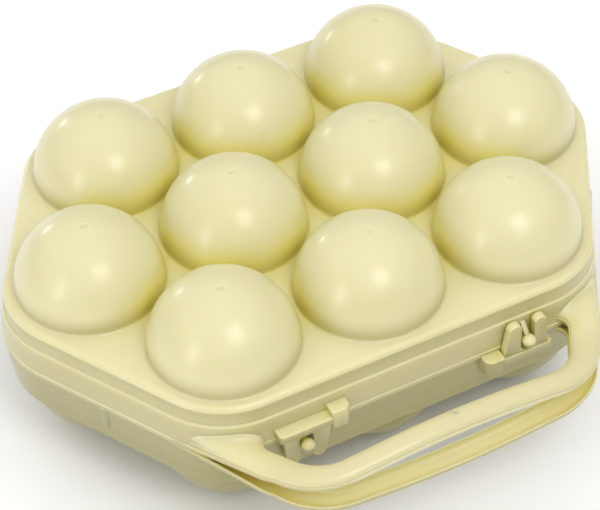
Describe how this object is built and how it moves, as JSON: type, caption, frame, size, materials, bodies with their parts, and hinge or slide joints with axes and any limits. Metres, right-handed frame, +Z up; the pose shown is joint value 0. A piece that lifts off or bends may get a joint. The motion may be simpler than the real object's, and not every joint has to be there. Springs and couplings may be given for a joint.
{
  "type": "egg carton",
  "caption": "Folding plastic egg carrier: two hinged halves with domed cups, snap latches at the front and a split carrying handle.",
  "frame": {"origin": "middle of the carton's outer box, on the surface that it stands on", "axes": "+X along the rows of cups, -Y towards the handle, +Z up through the lid"},
  "size_m": [0.217, 0.188, 0.0849],
  "materials": {
    "moulded_plastic": "satin injection-moulded polyethylene, pale butter yellow"
  },
  "bodies": {
    "base": {"base_cup_front_1": "moulded_plastic", "base_cup_front_2": "moulded_plastic", "base_cup_front_3": "moulded_plastic", "base_cup_middle_1": "moulded_plastic", "base_cup_middle_2": "moulded_plastic", "base_cup_middle_3": "moulded_plastic", "base_cup_middle_4": "moulded_plastic", "base_cup_back_1": "moulded_plastic", "base_cup_back_2": "moulded_plastic", "base_cup_back_3": "moulded_plastic", "base_rim": "moulded_plastic", "base_handle_bar": "moulded_plastic", "base_handle_left_arm": "moulded_plastic", "base_handle_right_arm": "moulded_plastic", "base_latch_fork": "moulded_plastic", "base_latch_lug": "moulded_plastic", "base_latch_stud": "moulded_plastic", "base_hinge_ears": "moulded_plastic", "base_hinge_pin": "moulded_plastic", "base_hinge_hook": "moulded_plastic"},
    "lid": {"lid_cup_front_1": "moulded_plastic", "lid_cup_front_2": "moulded_plastic", "lid_cup_front_3": "moulded_plastic", "lid_cup_middle_1": "moulded_plastic", "lid_cup_middle_2": "moulded_plastic", "lid_cup_middle_3": "moulded_plastic", "lid_cup_middle_4": "moulded_plastic", "lid_cup_back_1": "moulded_plastic", "lid_cup_back_2": "moulded_plastic", "lid_cup_back_3": "moulded_plastic", "lid_rim": "moulded_plastic", "lid_handle_bar": "moulded_plastic", "lid_handle_left_arm": "moulded_plastic", "lid_handle_right_arm": "moulded_plastic", "lid_latch_fork": "moulded_plastic", "lid_latch_lug": "moulded_plastic", "lid_latch_stud": "moulded_plastic", "lid_hinge_ears": "moulded_plastic", "lid_hinge_pin": "moulded_plastic", "lid_hinge_hook": "moulded_plastic"}
  },
  "joints": [
    {"name": "lid_hinge", "type": "hinge", "parent": "base", "child": "lid", "pos_m": [0, 0.09095, 0.04247], "axis": [-1, 0, 0], "range_deg": [0, 180]}
  ]
}
